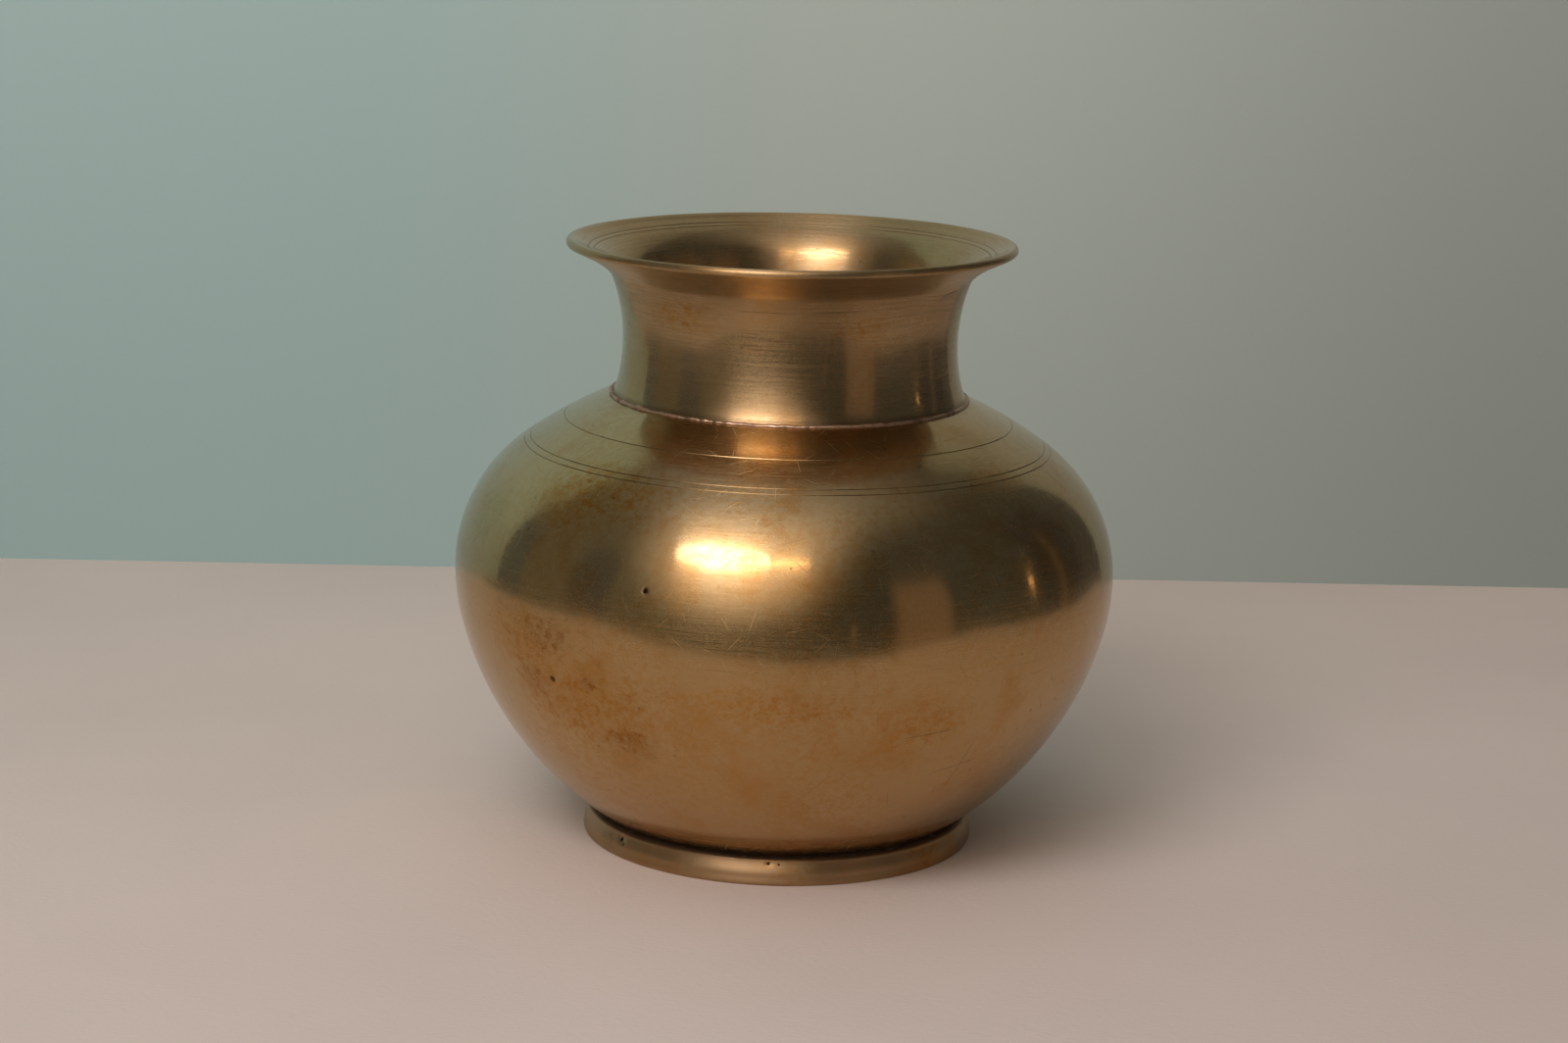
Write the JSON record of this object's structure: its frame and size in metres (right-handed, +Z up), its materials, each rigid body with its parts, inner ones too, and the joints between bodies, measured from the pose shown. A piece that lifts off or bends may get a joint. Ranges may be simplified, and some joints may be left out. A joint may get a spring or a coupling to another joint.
{
  "type": "lota water pot",
  "caption": "Round-bellied brass water pot with a sloping shoulder, a concave neck, an out-turned lipped rim and a low foot ring.",
  "frame": {"origin": "on the table, under the centre of the foot ring", "axes": "+Z up along the turning axis; X and Y are level and equivalent, the pot being round"},
  "size_m": [0.15, 0.15, 0.1371],
  "materials": {
    "belly_brass": "worn satin brass, hand polished, brown-orange with faint handling scratches and soft tarnish",
    "neck_brass": "satin brass with fine horizontal turning marks",
    "braze_spelter": "rough coppery-pink brazing bead",
    "foot_brass": "dull cast brass, darker and lightly pitted",
    "dark_solder": "blackened solder, matt, with a few grey spots"
  },
  "bodies": {
    "root": {"belly_bowl": "belly_brass", "neck_rim": "neck_brass", "neck_braze": "braze_spelter", "foot_ring": "foot_brass", "foot_solder": "dark_solder"}
  },
  "joints": []
}
